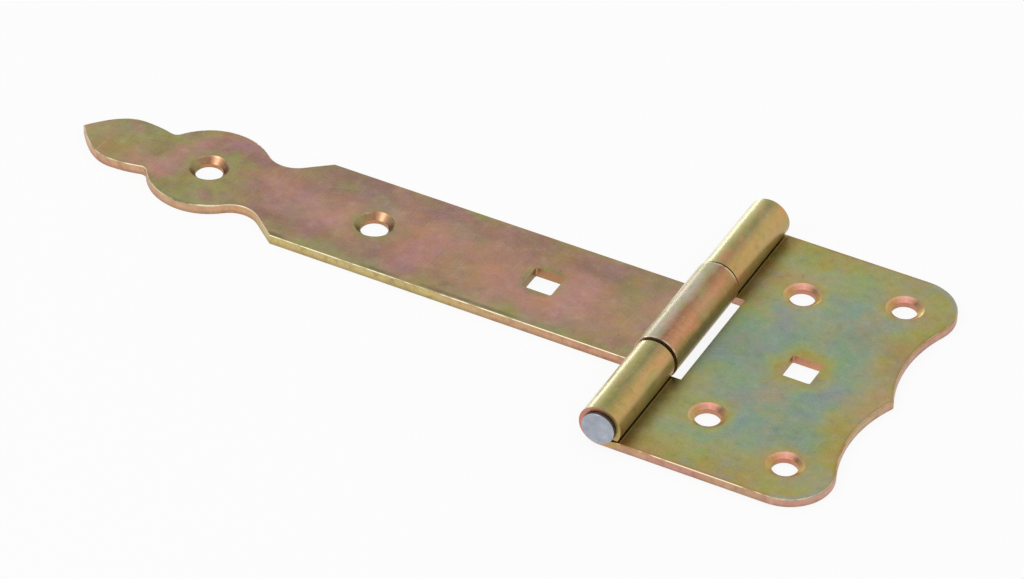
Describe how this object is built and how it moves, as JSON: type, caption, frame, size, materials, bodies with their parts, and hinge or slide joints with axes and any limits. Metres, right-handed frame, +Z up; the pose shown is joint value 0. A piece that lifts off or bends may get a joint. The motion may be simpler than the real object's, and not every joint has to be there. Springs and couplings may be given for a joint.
{
  "type": "tee hinge",
  "caption": "Ornamental tee hinge: scalloped plate leaf and long strap leaf with a leaf-shaped finial, rolled eyes on one headed pin, countersunk screw holes and square bolt holes.",
  "frame": {"origin": "middle of the overall length and of the pin, on the plane of the strap's back", "axes": "+X along the strap from the finial towards the plate, +Y along the pin, +Z up from the back of the leaves to the barrel"},
  "size_m": [0.241, 0.1028, 0.0127],
  "materials": {
    "yellow_zinc_plate": "sheet steel, yellow-chromate zinc plate, satin",
    "yellow_zinc_strap": "sheet steel, yellow-chromate zinc plate, satin",
    "bright_zinc": "steel, clear zinc plate, satin"
  },
  "bodies": {
    "plate": {"plate_leaf": "yellow_zinc_plate", "hinge_pin": "bright_zinc"},
    "strap": {"strap_leaf": "yellow_zinc_strap"}
  },
  "joints": [
    {"name": "strap_swing", "type": "hinge", "parent": "plate", "child": "strap", "pos_m": [0.061, 0, 0.00635], "axis": [0, 1, 0], "range_deg": [-101, 185]}
  ]
}
